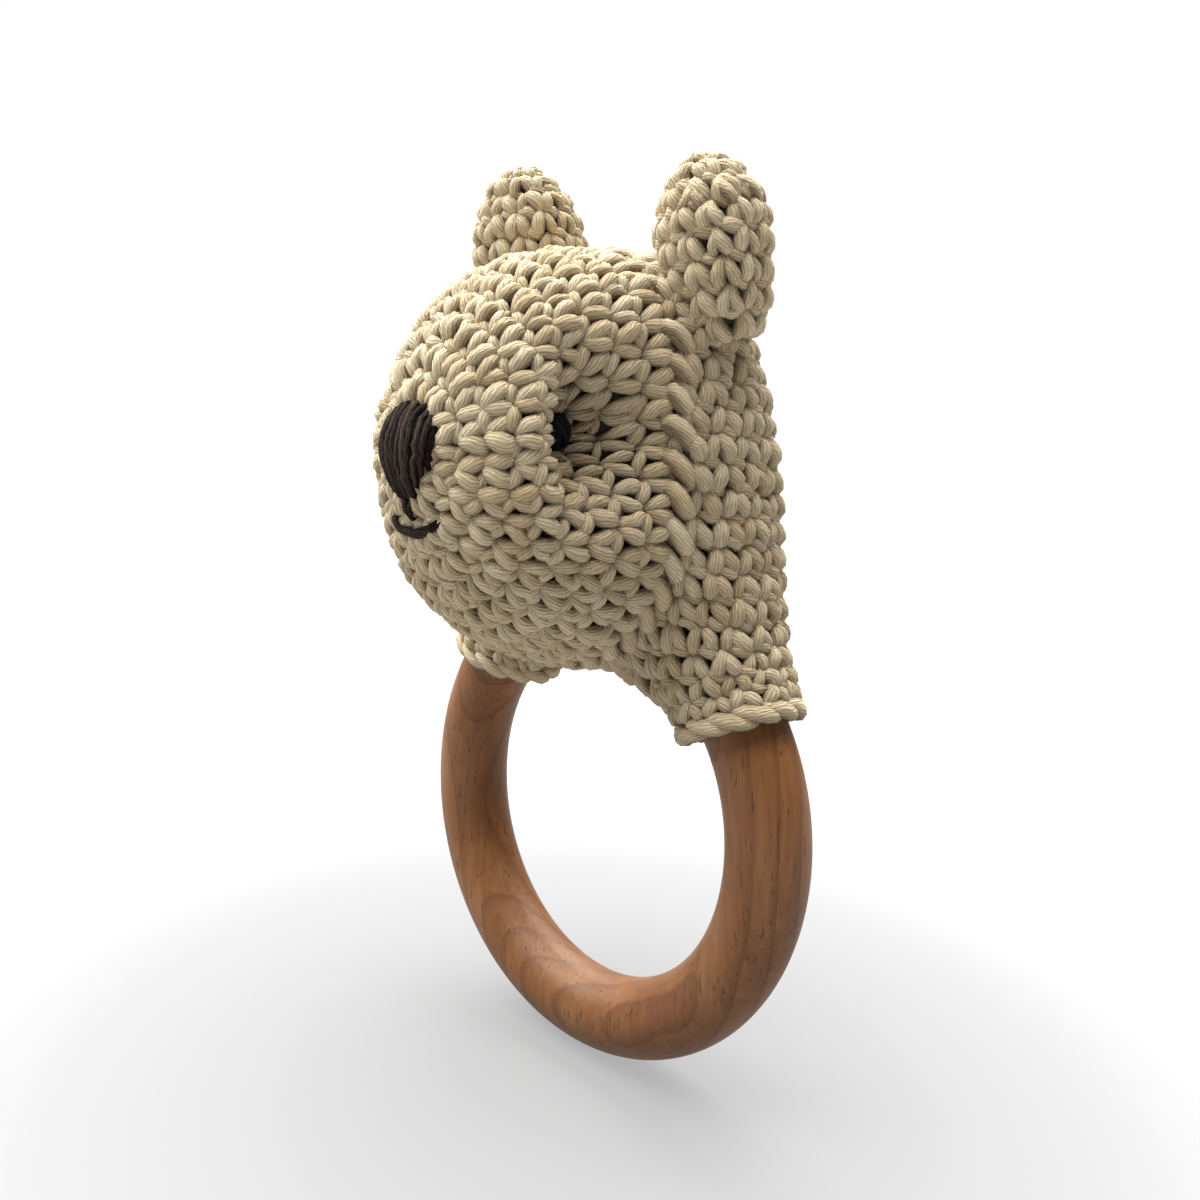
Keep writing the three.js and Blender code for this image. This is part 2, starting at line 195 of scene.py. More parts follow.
def lower_edge(angle):
    """The last round of the sleeve: round the right end, under the tube, round the left end and back."""
    half = np.abs(np.arctan2(np.sin(angle), np.cos(angle))) / math.pi
    side = np.where(np.sin(angle) < 0, -1.0, 1.0)
    right_turn = np.clip(half / HEM_SHARE, 0, 1) * math.pi
    left_turn = np.clip((1 - half) / HEM_SHARE, 0, 1) * math.pi
    right = hem_point(RIGHT_END, side * right_turn)
    left = hem_point(LEFT_END, side * left_turn)
    middle = np.clip((half - HEM_SHARE) / (1 - 2 * HEM_SHARE), 0, 1)
    degrees = SLEEVE_RIGHT[1] + (SLEEVE_LEFT[1] - SLEEVE_RIGHT[1]) * middle
    arch = around_ring(degrees, sleeve_inner_radius(degrees))
    arch[..., 1] = side * 1.1
    point = np.where((half < HEM_SHARE)[..., None], right, arch)
    return np.where((half > 1 - HEM_SHARE)[..., None], left, point)


def section_middle(height):
    """How far forward or back the middle of the hood's oval is: it leans forward towards the crown."""
    return CROWN_Y * np.clip((height - HOOD_BOTTOM) / (HOOD_CROWN - HOOD_BOTTOM), 0, 1) ** 1.3


def section_power(along):
    return 2 + 0.6 * np.minimum(1, along * 2)


def section_point(along, angle):
    """The hood above the sleeve: squared-off ovals from the crown down."""
    station = catmull_rom(HOOD_STATIONS, along)
    half_width, half_depth, height = (station[..., i] for i in range(3))
    bend = squircle(angle, section_power(along))
    x = half_width * bend * np.cos(angle)
    y = section_middle(height) + half_depth * bend * np.sin(angle)
    return np.stack([x, y, height], -1)


def section_angles():
    """For the oval above the sleeve, the angle at each fraction of its way round."""
    angle = np.linspace(-math.pi, math.pi, 1441)
    points = section_point(np.ones_like(angle), angle)
    lengths = distances_along(points)
    return lengths / lengths[-1] * 2 * math.pi - math.pi, angle


SECTION_WAY, SECTION_ANGLE = section_angles()
HOOD_SHARE = 0.8


def hood_point(along, way):
    """along 0 at the crown, HOOD_SHARE where the sleeve begins, 1 at its edge; way is how far round."""
    way = np.arctan2(np.sin(way), np.cos(way))
    angle = np.interp(way, SECTION_WAY, SECTION_ANGLE)
    upper = section_point(np.clip(along / HOOD_SHARE, 1e-3, 1), angle)
    top = section_point(np.ones_like(along), angle)
    edge = lower_edge(way)
    down = np.clip((along - HOOD_SHARE) / (1 - HOOD_SHARE), 0, 1)[..., None]
    knee = np.stack([
        0.5 * top[..., 0] + 0.5 * edge[..., 0],
        0.75 * top[..., 1] + 0.25 * edge[..., 1],
        0.35 * top[..., 2] + 0.65 * edge[..., 2],
    ], -1)
    lower = (1 - down) ** 2 * top + 2 * down * (1 - down) * knee + down ** 2 * edge
    return np.where((along > HOOD_SHARE)[..., None], lower, upper)


def ear_point_for(foot, tip, turn):
    """The surface of one ear: flattened ovals along a straight line."""
    line = tip - foot
    length = np.linalg.norm(line)
    up = line / length
    across = np.array([1.0, 0, 0]) - up * up[0]
    across = across / np.linalg.norm(across)
    across = across * math.cos(turn) + np.cross(up, across) * math.sin(turn)
    forward = np.cross(up, across)

    def ear_point(along, angle):
        """along 0 at the tip, 1 at the foot."""
        height = 1 - along
        from_widest = (height - 0.4) / np.where(height > 0.4, 0.6, 0.9)
        narrow = np.maximum(0, 1 - from_widest ** 2) ** 0.55
        narrow = np.maximum(narrow, 1e-3)
        sideways = (EAR_HALF_WIDTH * narrow * np.cos(angle))[..., None] * across
        front = (EAR_HALF_DEPTH * narrow * np.sin(angle))[..., None] * forward
        return foot + up * (length * height)[..., None] + sideways + front

    return ear_point


def normals_of(surface, along, angle, outward_from):
    """A surface's directions outward, away from the points that outward_from gives."""
    step = 0.004
    d_along = surface(along + step, angle) - surface(along - step, angle)
    d_angle = surface(along, angle + step) - surface(along, angle - step)
    normal = np.cross(d_along, d_angle)
    normal /= np.maximum(np.linalg.norm(normal, axis=-1, keepdims=True), 1e-9)
    point = surface(along, angle)
    flip = np.sum(normal * (point - outward_from(point)), -1) < 0
    normal[flip] *= -1
    return normal


# ---------- strands of yarn ----------

STRAND_SIDES = 16
STRAND_STEPS = 10
# Most of the corners of a strand's section are on the side that shows.
SECTION = np.radians(np.concatenate([np.linspace(-118, 118, 13), [146, 180, 214]]))
# The share of the yarn's texture square kept for the backing and for the loose fibres.
BACKING_SHARE, FIBRE_SHARE = 0.12, 0.04
# The margin round each strand's own cell in that square, and the part of it kept for each of its end caps.
CELL_MARGIN, CAP_SHARE = 0.04, 0.08
# How far round from a strand's ridge its flank starts to darken with painted shade, where its neighbours
# touch it, and over what angle it does so.
FLANK_SHADE_START, FLANK_SHADE_SPAN = math.radians(22), math.radians(56)


def tube_grid(steps, sides):
    """For each face along a tube, its corners' steps and sides, and their numbers as points."""
    s, k = np.meshgrid(np.arange(steps - 1), np.arange(sides), indexing="ij")
    corner_steps = np.stack([s, s, s + 1, s + 1], -1).reshape(-1, 4)
    corner_sides = np.stack([k, k + 1, k + 1, k], -1).reshape(-1, 4)
    return corner_steps, corner_sides, corner_steps * sides + corner_sides % sides


def add_object(name, data):
    made = bpy.data.objects.new(name, data)
    bpy.context.scene.collection.objects.link(made)
    return made


def unit(vectors):
    return vectors / np.maximum(np.linalg.norm(vectors, axis=-1, keepdims=True), 1e-9)


class Yarn:
    """Collects strands and makes one mesh of them."""

    def __init__(self):
        self.points, self.values, self.fibre = [], [], []
        self.quads, self.quad_places = [], []
        self.triangles, self.triangle_places = [], []
        self.fuzz_roots = []
        self.count = 0
        self.strands = 0

    def add(self, centre, normal, half_width, half_thickness, twist=0.7, ridge=0.045, deep=None):
        """centre and normal are (strands, steps, 3); the sizes are (strands, steps), in millimetres."""
        strands, steps = centre.shape[:2]
        tangent = unit(np.gradient(centre, axis=1))
        side = unit(np.cross(tangent, normal))
        up = np.cross(side, tangent)
        lean = RANDOM.uniform(-0.15, 0.15, strands)
        along = np.linspace(0, 1, steps)
        turn = SECTION[None, None, :] + lean[:, None, None] + twist * (along[None, :, None] - 0.5)
        flank_shade = np.clip((np.abs(turn) - FLANK_SHADE_START) / FLANK_SHADE_SPAN, 0, 1) ** 1.25
        bumpy = 1 + ridge * np.where(np.arange(STRAND_SIDES) % 2, 1, -1)[None, None, :]
        across = np.sin(turn) * half_width[..., None] * bumpy
        lift = np.cos(turn) * half_thickness[..., None] * bumpy
        ring = centre[:, :, None] + side[:, :, None] * across[..., None] + up[:, :, None] * lift[..., None]
        points = np.concatenate([ring.reshape(strands, -1, 3), centre[:, [0, -1]]], 1)
        size = points.shape[1]
        shade = RANDOM.uniform(0, 1, strands)
        # deep is painted shade: by default the strand darkens towards its ends, where it goes down between
        # others.
        if deep is None:
            deep = np.broadcast_to(np.abs(2 * along - 1) ** 4, (strands, steps))

        corner_steps, corner_sides, quad = tube_grid(steps, STRAND_SIDES)
        k = np.arange(STRAND_SIDES)
        following = (k + 1) % STRAND_SIDES
        last = (steps - 1) * STRAND_SIDES
        start_cap = np.stack([following, k, np.full_like(k, steps * STRAND_SIDES)], -1)
        end_cap = np.stack([last + k, last + following, np.full_like(k, steps * STRAND_SIDES + 1)], -1)
        first = self.count + np.arange(strands)[:, None, None] * size
        self.quads.append((quad[None] + first).reshape(-1, 4))
        self.triangles.append((np.concatenate([start_cap, end_cap])[None] + first).reshape(-1, 3))

        cell = self.strands + np.arange(strands)
        u = corner_sides / STRAND_SIDES
        v = CAP_SHARE + (1 - 2 * CAP_SHARE) * corner_steps / (steps - 1)
        self.quad_places.append(self.in_cells(cell, u, v))
        u = np.stack([(k + 1), k, k + 0.5], -1) / STRAND_SIDES
        u = np.concatenate([u, u[:, [1, 0, 2]]])
        low, high = CAP_SHARE, 1 - CAP_SHARE
        v = np.repeat([[low, low, 0.0], [high, high, 1.0]], STRAND_SIDES, axis=0)
        self.triangle_places.append(self.in_cells(cell, u, v))

        self.points.append(points.reshape(-1, 3))
        self.count += strands * size
        self.strands += strands
        # Painted shade on the flanks, where neighbouring strands touch, is added to deep.
        deep = np.maximum(deep[..., None], flank_shade)
        values = np.stack([
            np.concatenate([deep.reshape(strands, -1), deep[:, [0, -1], 0]], 1).ravel(),
            np.repeat(shade, size),
        ], -1)
        self.values.append(values)
        length = np.linalg.norm(np.diff(centre, axis=1), axis=-1).sum(1)
        fibre = np.empty((strands, steps, STRAND_SIDES, 3))
        fibre[..., 0] = SECTION[None, None] * half_width.max(1)[:, None, None]
        fibre[..., 1] = along[None, :, None] * length[:, None, None]
        fibre[..., 2] = RANDOM.uniform(0, 400, strands)[:, None, None]
        fibre = np.concatenate([fibre.reshape(strands, -1, 3), fibre[:, [0, -1], 6]], 1)
        self.fibre.append(fibre.reshape(-1, 3))
        outward = unit(ring - centre[:, :, None])
        self.fuzz_roots.append([part[:, 2:-2, 2:11].reshape(-1, 3) for part in (ring, outward)])

    @staticmethod
    def in_cells(cell, u, v):
        """Places in a strand's own cell, before the cells are laid out: (cell, u, v) per corner."""
        corners = np.broadcast_to(np.stack([u, v], -1)[None], (len(cell), *u.shape, 2))
        numbers = np.broadcast_to(cell[:, None, None, None], (*corners.shape[:-1], 1))
        return np.concatenate([numbers, corners], -1).reshape(-1, 3)

    def add_fuzz(self, count, length, radius=0.018):
        """Loose fibres standing off the strands, each a thin three-sided tube that curls."""
        roots = np.concatenate([root for root, _ in self.fuzz_roots])
        outward = np.concatenate([out for _, out in self.fuzz_roots])
        chosen = RANDOM.integers(0, len(roots), count)
        root, out = roots[chosen], outward[chosen]
        steps, sides = 5, 3
        t = np.linspace(0, 1, steps)[None, :, None]
        heading = unit(out * RANDOM.uniform(0.1, 0.9, (count, 1)) + RANDOM.normal(0, 0.75, (count, 3)))
        bend = RANDOM.normal(0, 0.55, (count, 3))
        reach = (length * RANDOM.uniform(0.35, 1.0, count) ** 1.5)[:, None, None]
        path = root[:, None] + reach * (heading[:, None] * t + bend[:, None] * t ** 2)
        side = unit(np.cross(heading, bend))
        over = np.cross(heading, side)
        turn = np.arange(sides) * 2 * math.pi / sides
        thin = radius * (1 - 0.6 * t[..., None])
        rim = side[:, None, None] * np.cos(turn)[:, None] + over[:, None, None] * np.sin(turn)[:, None]
        points = (path[:, :, None] + rim * thin).reshape(-1, 3)
        corner_steps, corner_sides, quad = tube_grid(steps, sides)
        first = self.count + np.arange(count)[:, None, None] * (steps * sides)
        self.quads.append((quad[None] + first).reshape(-1, 4))
        u, v = corner_sides / sides, corner_steps / (steps - 1)
        self.quad_places.append(self.in_cells(np.full(count, -1), u, v))
        self.points.append(points)
        self.count += len(points)
        shade = np.repeat(RANDOM.uniform(0.4, 1, count), steps * sides)
        self.values.append(np.stack([np.zeros(len(points)), shade], -1))
        self.fibre.append(points * 0.3)

    def object(self, name, materials, backing=None):
        """One mesh of all the strands, with a backing's points and triangles in the last material."""
        points, values = np.concatenate(self.points), np.concatenate(self.values)
        fibre = np.concatenate(self.fibre)
        quads, triangles = np.concatenate(self.quads), np.concatenate(self.triangles)
        yarn_faces = len(quads) + len(triangles)
        places = np.concatenate(self.quad_places + self.triangle_places)
        columns = math.ceil(math.sqrt(self.strands))
        low = BACKING_SHARE + FIBRE_SHARE
        cell = places[:, 0].astype(int)
        within = CELL_MARGIN + (1 - 2 * CELL_MARGIN) * places[:, 1:]
        u = (cell % columns + within[:, 0]) / columns
        v = low + (1 - low) * (cell // columns + within[:, 1]) / columns
        loose = cell < 0
        u[loose], v[loose] = places[loose, 1], BACKING_SHARE + FIBRE_SHARE * (0.1 + 0.8 * places[loose, 2])
        texture = np.stack([u, v], -1)
        if backing is not None:
            backing_points, backing_triangles = backing
            triangles = np.concatenate([triangles, backing_triangles + len(points)])
            points = np.concatenate([points, backing_points])
            values = np.concatenate([values, np.tile([1.0, 0.5], (len(backing_points), 1))])
            fibre = np.concatenate([fibre, backing_points])
            corner = backing_points[backing_triangles.ravel()]
            span = np.ptp(backing_points, axis=0)
            spread = (corner - backing_points.min(0)) / span
            spread = np.stack([spread[:, 0], BACKING_SHARE * 0.98 * spread[:, 2]], -1)
            texture = np.concatenate([texture, spread])
        mesh = bpy.data.meshes.new(name)
        mesh.vertices.add(len(points))
        mesh.vertices.foreach_set("co", ((points + RING_CENTRE) * MM).ravel())
        corners = np.concatenate([quads.ravel(), triangles.ravel()])
        starts = np.concatenate([np.arange(len(quads)) * 4, len(quads) * 4 + np.arange(len(triangles)) * 3])
        mesh.loops.add(len(corners))
        mesh.loops.foreach_set("vertex_index", corners.astype(np.int32))
        mesh.polygons.add(len(starts))
        mesh.polygons.foreach_set("loop_start", starts.astype(np.int32))
        material_index = np.where(np.arange(len(starts)) < yarn_faces, 0, len(materials) - 1)
        mesh.polygons.foreach_set("material_index", material_index.astype(np.int32))
        mesh.polygons.foreach_set("use_smooth", np.ones(len(starts), bool))
        for column, key in enumerate(("deep", "shade")):
            layer = mesh.attributes.new(key, "FLOAT", "POINT")
            layer.data.foreach_set("value", values[:, column].astype(np.float32))
        layer = mesh.attributes.new("fibre", "FLOAT_VECTOR", "POINT")
        layer.data.foreach_set("vector", fibre.astype(np.float32).ravel())
        layer = mesh.uv_layers.new(name="OFBake")
        layer.data.foreach_set("uv", texture.astype(np.float32).ravel())
        for material in materials:
            mesh.materials.append(material)
        mesh.update(calc_edges=True)
        mesh.validate()
        return add_object(name, mesh)


def spline(values):
    """Each strand's few control values, (strands, points, n), as a smooth curve of STRAND_STEPS points."""
    curves = catmull_rom(np.moveaxis(values, 1, 0), np.linspace(0, 1, STRAND_STEPS))
    return np.moveaxis(curves, 0, 1)


# Each part of a stitch as (across in stitches, along in rows, height in mm, width), from end to end.
LEG = (
    (0.03, 0.02, -1.30, 0.60),
    (0.10, 0.20, 0.10, 0.92),
    (0.20, 0.46, 0.72, 1.10),
    (0.29, 0.72, 0.55, 1.12),
    (0.33, 0.98, -1.10, 0.78),
)
TOP_LOOP = (
    (0.14, -0.06, -1.25, 0.48),
    (0.30, -0.10, 0.05, 0.84),
    (0.50, -0.02, 0.42, 1.02),
    (0.70, 0.08, 0.05, 0.86),
    (0.88, 0.12, -1.25, 0.48),
)


def strand_shape(shape, count, mirror=False):
    """One part of count stitches, each a little different, as handwork is."""
    shape = np.broadcast_to(np.array(shape), (count, len(shape), 4)).copy()
    if mirror:
        shape[..., 0] *= -1
    middle = slice(1, -1)
    shape[:, middle, 0] += RANDOM.normal(0, 0.045, (count, 1))
    shape[:, middle, 1] += RANDOM.normal(0, 0.050, (count, 1))
    shape[:, middle, 2] += RANDOM.normal(0, 0.16, (count, 1))
    shape[:, middle, :2] += RANDOM.normal(0, 0.026, (count, len(shape[0]) - 2, 2))
    shape[..., 3] *= RANDOM.normal(1, 0.08, (count, 1))
    return shape


# How much thinner a stitch is, and how much painted shade it gets, where the cover is pulled in fully.
PULLED_THIN, PULLED_SHADE = 0.46, 1.1


def as_thick(size):
    """A strand's share of its thickness where its width has a share of size: its ends stay rounder."""
    return 0.35 + 0.65 * size


def depth_shade(height):
    """Painted shade for how far a strand has gone down between its neighbours, from 0 on top to 1."""
    return np.clip((0.15 - height) / 1.1, 0, 1) ** 1.2


# How far each round is turned from the one before it, and how far a stitch leans, in stitches.
DRIFT, LEAN = 0.17, 0.10


def rows_of_stitches(yarn, surface, outward_from, rows, keep=None, scale=1.0, sink=0.75, pull=None):
    """rows is a list of (along at the row's foot, along at its top, stitches in the round)."""
    shift = 0.0
    for foot, top, stitches in rows:
        pitch = 2 * math.pi / stitches
        centre = (np.arange(stitches) + shift) * pitch
        shift += DRIFT + 0.5 * (stitches % 2)
        next_stitch = surface(np.full(stitches, (foot + top) / 2), centre + pitch)
        step = next_stitch - surface(np.full(stitches, (foot + top) / 2), centre)
        room = np.clip(np.linalg.norm(step, axis=-1) / STITCH_WIDTH, 0.72, 1.15)
        for shape, mirror in ((LEG, False), (LEG, True), (TOP_LOOP, False)):
            path = spline(strand_shape(shape, stitches, mirror))
            height, size = path[..., 2], path[..., 3]
            angle = centre[:, None] + (path[..., 0] + LEAN * path[..., 1]) * pitch
            along = foot + (top - foot) * path[..., 1]
            point = surface(along, angle)
            normal = normals_of(surface, along, angle, outward_from)
            position = point + normal * (height * scale - sink)[..., None]
            use = np.ones(stitches, bool) if keep is None else keep(point)
            if not use.any():
                continue
            pulled = np.zeros_like(along) if pull is None else pull(along, angle)
            width = LEG_WIDTH / 2 * size * room[:, None] * scale * (1 - PULLED_THIN * pulled)
            thickness = LEG_THICKNESS / 2 * as_thick(size) * scale
            # Painted shade: deeper where the strand goes down between its neighbours, and more where the
            # cover is pulled in.
            deep = np.clip(depth_shade(height) + PULLED_SHADE * pulled ** 1.3, 0, 1)
            yarn.add(position[use], normal[use], width[use], thickness[use], deep=deep[use])


class Line:
    """A path for sewn or crocheted yarn to follow, with the direction outward along it."""

    def __init__(self, points, outward, closed):
        points, outward = np.asarray(points, float), np.asarray(outward, float)
        if closed:
            points, outward = np.vstack([points, points[:1]]), np.vstack([outward, outward[:1]])
        self.points, self.outward, self.closed = points, outward, closed
        self.lengths = distances_along(points)
        self.length = self.lengths[-1]

    def at(self, values, distance):
        if self.closed:
            distance = np.mod(distance, self.length)
        return np.stack([np.interp(distance, self.lengths, values[:, i]) for i in range(3)], -1)

    def lay(self, across, along, height):
        """Points beside, along and above the line, and the outward directions there."""
        out = unit(self.at(self.outward, along))
        tangent = unit(self.at(self.points, along + 0.3) - self.at(self.points, along - 0.3))
        side = unit(np.cross(tangent, out))
        return self.at(self.points, along) + side * across[..., None] + out * height[..., None], out


def strands_along(yarn, line, shape, pitch, width, thickness, wander=1.0):
    """The same strand laid again and again along a line. shape is (across, along, height, width), in mm."""
    places = max(1, round(line.length / pitch))
    count = places if line.closed else places - 1
    start = np.arange(count) * (line.length / places)
    shape = np.broadcast_to(np.array(shape, float), (count, len(shape), 4)).copy()
    whole = RANDOM.normal(0, 0.10 * wander, (count, 1, 3))
    bends = RANDOM.normal(0, 0.05 * wander, (count, shape.shape[1] - 2, 3))
    shape[:, 1:-1, :3] += whole + bends
    across, along, height, size = np.moveaxis(spline(shape), -1, 0)
    position, out = line.lay(across, start[:, None] + along, height)
    # Painted shade where the strand goes down into the cloth.
    deep = depth_shade(height - 0.2)
    yarn.add(position, out, width / 2 * size, thickness / 2 * as_thick(size), twist=0.5, deep=deep)


def even_rows(surface, angle, start, end, row_height):
    """Row boundaries between two values of along, spaced evenly along the surface at one angle."""
    t = np.linspace(start, end, 400)
    points = surface(t, np.full_like(t, angle))
    lengths = distances_along(points)
    count = max(1, round(lengths[-1] / row_height))
    return np.interp(np.linspace(0, lengths[-1], count + 1), lengths, t)


def fitted_rounds(surface, limits, stitch_width, fewest):
    """Rows between the limits, each with as many stitches as its way round has room for."""
    angle = np.linspace(0, 2 * math.pi, 361)
    rows = []
    for foot, top in zip(limits[:-1], limits[1:]):
        around = surface(np.full_like(angle, (foot + top) / 2), angle)
        stitches = max(fewest, round(distances_along(around)[-1] / stitch_width))
        rows.append((foot, top, stitches))
    return rows


def shrunk_cover(node, amount):
    """A CAD cover's mesh, thinned by moving its faces into its wall, as points in mm and triangles."""
    bm = bmesh.new()
    bm.from_mesh(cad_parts[node].data)
    bm.transform(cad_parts[node].matrix_world)
    bmesh.ops.remove_doubles(bm, verts=bm.verts, dist=1e-6)
    bmesh.ops.recalc_face_normals(bm, faces=bm.faces)
    bmesh.ops.triangulate(bm, faces=bm.faces)
    bm.normal_update()
    bm.verts.index_update()
    points = np.array([(v.co - v.normal * amount * MM)[:] for v in bm.verts]) / MM - RING_CENTRE
    triangles = np.array([[v.index for v in face.verts] for face in bm.faces])
    bm.free()
    return points, triangles


# ---------- materials ----------


class Nodes:
    """Short names for making one node material."""

    def __init__(self, name):
        self.material = bpy.data.materials.new(name)
        self.material.use_nodes = True
        self.tree = self.material.node_tree
        self.tree.nodes.clear()
        self.output = self.tree.nodes.new("ShaderNodeOutputMaterial")
        self.shader = self.tree.nodes.new("ShaderNodeBsdfPrincipled")
        self.feed(self.output.inputs[0], self.shader.outputs[0])

    def feed(self, socket, value):
        """Sets an input to a number, vector or colour, or links it to another node's output."""
        if isinstance(value, bpy.types.NodeSocket):
            self.tree.links.new(value, socket)
        else:
            socket.default_value = (*value, 1) if socket.type == "RGBA" else value

    def node(self, kind, **values):
        """A node with some of its inputs or settings given by name."""
        made = self.tree.nodes.new(kind)
        for key, value in values.items():
            if key.title() in made.inputs:
                self.feed(made.inputs[key.title()], value)
            else:
                setattr(made, key, value)
        return made

    def attribute(self, name, output="Fac"):
        return self.node("ShaderNodeAttribute", attribute_name=name).outputs[output]

    def separate(self, vector):
        return self.node("ShaderNodeSeparateXYZ", vector=vector).outputs

    def maths(self, operation, a, b=0.0, clamp=False):
        made = self.node("ShaderNodeMath", operation=operation, use_clamp=clamp)
        self.feed(made.inputs[0], a)
        self.feed(made.inputs[1], b)
        return made.outputs[0]

    def times(self, a, b):
        return self.maths("MULTIPLY", a, b)

    def plus(self, a, b, clamp=False):
        return self.maths("ADD", a, b, clamp)

    def mix(self, factor, a, b):
        made = self.node("ShaderNodeMix", data_type="RGBA")
        for index, value in ((0, factor), (6, a), (7, b)):
            self.feed(made.inputs[index], value)
        return made.outputs[2]

    def noise(self, vector, scale, detail=2.0, roughness=0.5):
        values = {"vector": vector, "scale": scale, "detail": detail, "roughness": roughness}
        return self.node("ShaderNodeTexNoise", **values).outputs[0]

    def stretch(self, vector, scale):
        return self.node("ShaderNodeMapping", vector=vector, scale=scale).outputs[0]

    def ramp(self, factor, stops):
        made = self.node("ShaderNodeValToRGB")
        elements = made.color_ramp.elements
        while len(elements) < len(stops):
            elements.new(0.5)
        for element, (place, color) in zip(elements, stops):
            element.position = place
            element.color = (*color, 1)
        self.feed(made.inputs[0], factor)
        return made.outputs[0]

    def greys(self, factor, stops):
        return self.ramp(factor, [(place, (value,) * 3) for place, value in stops])

    def bump(self, height, strength, distance):
        return self.node("ShaderNodeBump", height=height, strength=strength, distance=distance).outputs[0]

    def finish(self, **values):
        """The shader's own inputs, given by name with the spaces as underscores."""
        for key, value in values.items():
            self.feed(self.shader.inputs[key.replace("_", " ")], value)
        return self.material


def yarn_material(name, low, high, shade_color, sheen=0.0, plies=2.3, bump=0.9, groove_shade_share=0.36):
    """Twisted yarn: rounded plies running slowly round the strand, with painted shade in the grooves between
    the plies and where it goes down between others.
    """
    m = Nodes(name)
    fibre = m.attribute("fibre", "Vector")
    across, along, _ = m.separate(fibre)
    wobble = m.noise(m.stretch(fibre, (1.4, 0.9, 1.0)), 1.0, 2.0)
    turn = m.plus(m.times(across, plies), m.times(along, 0.85))
    turn = m.plus(turn, m.times(wobble, 1.6))
    wave = m.maths("ABSOLUTE", m.maths("SINE", m.times(turn, math.pi)))
    groove_shade = m.maths("POWER", m.maths("SUBTRACT", 1.0, wave), 2.4)
    soft = m.noise(m.stretch(fibre, (5.0, 1.0, 1.0)), 1.0, 3.0, 0.6)
    hairs = m.noise(m.stretch(fibre, (26.0, 3.0, 1.0)), 1.0, 3.0, 0.65)
    tone = m.plus(m.times(m.attribute("shade"), 0.25), m.times(soft, 0.55))
    tone = m.plus(tone, m.times(hairs, 0.40))
    color = m.ramp(tone, ((0.34, low), (0.84, high)))
    # Painted shade: the deep attribute and the grooves between the plies mix the colour towards the shade
    # colour.
    down = m.plus(m.times(m.attribute("deep"), 0.68), m.times(groove_shade, groove_shade_share), True)
    color = m.mix(down, color, shade_color)
    height = m.plus(m.maths("POWER", wave, 0.5), m.times(hairs, 0.7))
    normal = m.bump(height, bump, 0.00022)
    cloth = {"Roughness": 0.95, "Sheen_Weight": sheen, "Specular_IOR_Level": 0.12}
    return m.finish(Base_Color=color, Normal=normal, **cloth)


def backing_material(name, color, other):
    """The cloth seen between the stitches, given a near-black colour as painted shade in the holes, and the
    filling.
    """
    m = Nodes(name)
    place = m.node("ShaderNodeTexCoord").outputs["Object"]
    tone = m.noise(place, 900.0, 3.0)
    return m.finish(Base_Color=m.mix(tone, color, other), Roughness=0.95, Normal=m.bump(tone, 0.5, 0.0004))


BEECH_TONES = (
    (0.30, (0.117, 0.044, 0.014)),
    (0.52, (0.180, 0.075, 0.025)),
    (0.72, (0.240, 0.114, 0.049)),
)
LATE_WOOD = (0.095, 0.035, 0.012)
FLECK = (0.045, 0.016, 0.008)
RINGS_PER_METRE = 330.0


def beech_material():
    """Plain beech: grain up the ring, growth rings about a line beside it, short dark flecks."""
    m = Nodes("beech")
    place = m.node("ShaderNodeTexCoord").outputs["Object"]
    tilt = {"rotation": (0.10, 0.16, 0.0), "location": (-0.016, 0.038, 0.0)}
    grain_place = m.node("ShaderNodeMapping", vector=place, **tilt).outputs[0]
    drift = m.noise(m.stretch(grain_place, (45.0, 45.0, 16.0)), 1.0, 2.0)
    squares = [m.times(part, part) for part in m.separate(grain_place)[:2]]
    radius = m.maths("SQRT", m.plus(*squares))
    year = m.maths("FRACT", m.plus(m.times(radius, RINGS_PER_METRE), m.times(drift, 2.2)))
    late = m.greys(year, ((0.0, 0), (0.66, 0.18), (0.93, 1), (1.0, 0)))
    grain = m.noise(m.stretch(grain_place, (1100.0, 1100.0, 55.0)), 1.0, 3.0, 0.65)
    cloud = m.noise(m.stretch(grain_place, (110.0, 110.0, 40.0)), 1.0, 3.0)
    tone = m.plus(m.times(cloud, 0.55), m.times(grain, 0.45))
    color = m.ramp(tone, BEECH_TONES)
    color = m.mix(m.times(late, 0.62), color, LATE_WOOD)
    fleck_noise = m.noise(m.stretch(grain_place, (2300.0, 2300.0, 300.0)), 1.0, 1.0)
    fleck = m.greys(fleck_noise, ((0.645, 0), (0.70, 1)))
    color = m.mix(m.times(fleck, 0.6), color, FLECK)
    height = m.maths("SUBTRACT", m.times(grain, 0.5), m.times(fleck, 0.6))
    rough = m.greys(grain, ((0.3, 0.42), (0.7, 0.52)))
    normal = m.bump(height, 0.25, 0.00012)
    return m.finish(Base_Color=color, Roughness=rough, Normal=normal, Specular_IOR_Level=0.25)


# The last colour of each yarn below is the colour of its painted shade.
COTTON = yarn_material(
    "cream_cotton",
    low=(0.465, 0.342, 0.176),
    high=(0.725, 0.620, 0.424),
    shade_color=(0.100, 0.045, 0.013),
    sheen=0.15,
)
DARK_YARN = yarn_material(
    "dark_yarn",
    low=(0.002, 0.0015, 0.0015),
    high=(0.125, 0.086, 0.068),
    shade_color=(0.0006, 0.0005, 0.0005),
    plies=3.5,
    bump=1.0,
    groove_shade_share=0.9,
)
BLACK_THREAD = yarn_material(
    "black_thread",
    low=(0.002, 0.002, 0.003),
    high=(0.010, 0.010, 0.012),
    shade_color=(0.001, 0.001, 0.001),
)
